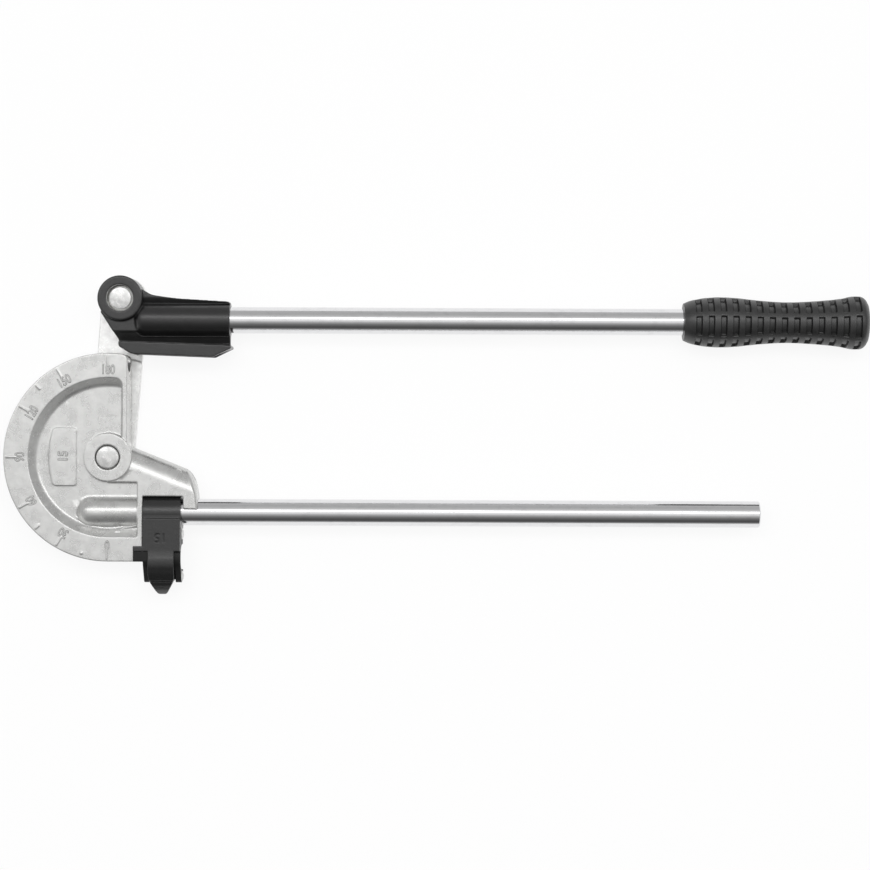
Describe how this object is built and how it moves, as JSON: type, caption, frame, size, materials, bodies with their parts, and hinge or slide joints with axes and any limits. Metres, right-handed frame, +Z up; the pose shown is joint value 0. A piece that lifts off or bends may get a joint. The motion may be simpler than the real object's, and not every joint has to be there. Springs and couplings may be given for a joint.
{
  "type": "pipe_bender",
  "caption": "Lever pipe bender for 15 mm tube: grey grooved form die with degree scale, swinging latch, black lever head on a rear link, plated handles and a slotted black grip.",
  "frame": {"origin": "centre of the underside of the whole tool's box, with the tool lying on its back", "axes": "+X along the handles away from the die, +Y across the tool from the fixed handle to the lever, +Z up out of the face with the scale"},
  "size_m": [0.5181, 0.1914, 0.0367],
  "materials": {
    "die_casting": "as cast, matt, lightly mottled",
    "plated_tube": "bright plated, fine draw lines",
    "link_steel": "pale zinc plated, satin",
    "pin_steel": "bright zinc plated",
    "washer_steel": "zinc plated",
    "rivet_steel": "bright",
    "spring_steel": "blued spring steel",
    "bearing_bronze": "turned",
    "black_casting": "black, fine textured, semi-matt",
    "black_block": "black oxide, semi-matt",
    "grip_rubber": "moulded, matt"
  },
  "bodies": {
    "frame": {"form_die": "die_casting", "die_bush": "bearing_bronze", "fixed_handle": "plated_tube", "handle_pin": "spring_steel"},
    "link": {"link_plate": "link_steel", "die_pivot_pin": "pin_steel", "lever_pivot_pin": "pin_steel", "die_thrust_washer": "bearing_bronze", "lever_thrust_washer": "bearing_bronze", "pin_washers": "washer_steel", "circlips": "spring_steel"},
    "lever": {"lever_head": "black_casting", "lever_bush": "bearing_bronze", "lever_tube": "plated_tube", "lever_tube_pin": "spring_steel", "grip": "grip_rubber"},
    "latch": {"latch_cover": "black_casting", "hook_block": "black_block", "latch_rivets": "rivet_steel"}
  },
  "joints": [
    {"name": "link_pivot", "type": "hinge", "parent": "frame", "child": "link", "pos_m": [-0.19665, -0.01345, 0.0209], "axis": [0, 0, 1], "range_deg": [-10, 184.15]},
    {"name": "lever_pivot", "type": "hinge", "parent": "link", "child": "lever", "pos_m": [-0.18973, 0.08195, 0.0209], "axis": [0, 0, 1], "range_deg": [0, 180]},
    {"name": "latch_swing", "type": "hinge", "parent": "frame", "child": "latch", "pos_m": [-0.16415, -0.04625, 0.0209], "axis": [-1, 0, 0], "range_deg": [0, 60]}
  ]
}
